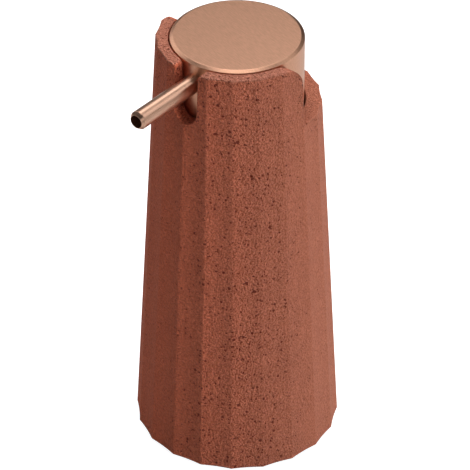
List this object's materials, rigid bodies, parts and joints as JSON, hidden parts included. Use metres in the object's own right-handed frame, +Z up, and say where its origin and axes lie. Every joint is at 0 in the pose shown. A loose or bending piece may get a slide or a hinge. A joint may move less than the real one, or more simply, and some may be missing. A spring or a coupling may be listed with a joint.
{
  "type": "soap pump dispenser",
  "caption": "Fluted tapered stone soap dispenser: a sunken round press drum works a plug-in pump and feeds a straight spout through a slot in the rim.",
  "frame": {"origin": "centre of the foot pad's underside, where the column's axis meets the surface it stands on", "axes": "+Z up along the column's axis; the spout points along -Y; +X follows by the right-hand rule"},
  "size_m": [0.085, 0.1033, 0.1875],
  "materials": {
    "stone": "matt, cast, finely porous, terracotta coloured",
    "brushed_copper": "brushed, copper coloured plating",
    "polished_copper": "fine satin, copper coloured plating",
    "steel": "bright stainless",
    "insert_brass": "machined",
    "bottle_plastic": "milky, semi-gloss",
    "white_plastic": "moulded, fine satin",
    "grey_plastic": "moulded, matt",
    "rubber": "matt black",
    "foam": "closed-cell foam, matt"
  },
  "bodies": {
    "root": {"body_shell": "stone", "base_plate": "grey_plastic", "base_inserts": "insert_brass", "base_screws": "steel", "foot_pad": "foam", "bottle_cushion": "foam", "reservoir_bottle": "bottle_plastic", "neck_washer": "rubber", "neck_nut": "grey_plastic"},
    "pump": {"plug_collar": "white_plastic", "collar_oring": "rubber", "pump_housing": "bottle_plastic", "valve_cage": "white_plastic", "dip_tube": "bottle_plastic", "guide_cap": "white_plastic", "stem_wiper": "rubber", "return_spring": "steel"},
    "head": {"drum_shell": "brushed_copper", "hub_core": "white_plastic", "hub_screws": "steel", "spout_tube": "polished_copper", "spout_oring": "rubber", "spout_grub_screw": "steel", "stem": "white_plastic", "piston": "bottle_plastic"},
    "inlet_ball_body": {"inlet_ball": "steel"},
    "outlet_ball_body": {"outlet_ball": "steel"}
  },
  "joints": [
    {"name": "refill_lift", "type": "slide", "parent": "root", "child": "pump", "axis": [0, 0, 1], "range_m": [0, 0.18]},
    {"name": "press", "type": "slide", "parent": "pump", "child": "head", "axis": [0, 0, -1], "range_m": [0, 0.01], "stiffness_N_per_m": 600, "springref_m": -0.008, "deforming": ["return_spring"]},
    {"name": "inlet_valve", "type": "slide", "parent": "pump", "child": "inlet_ball_body", "axis": [0, 0, 1], "range_m": [0, 0.0015]},
    {"name": "outlet_valve", "type": "slide", "parent": "head", "child": "outlet_ball_body", "axis": [0, 0, 1], "range_m": [0, 0.0015]}
  ]
}
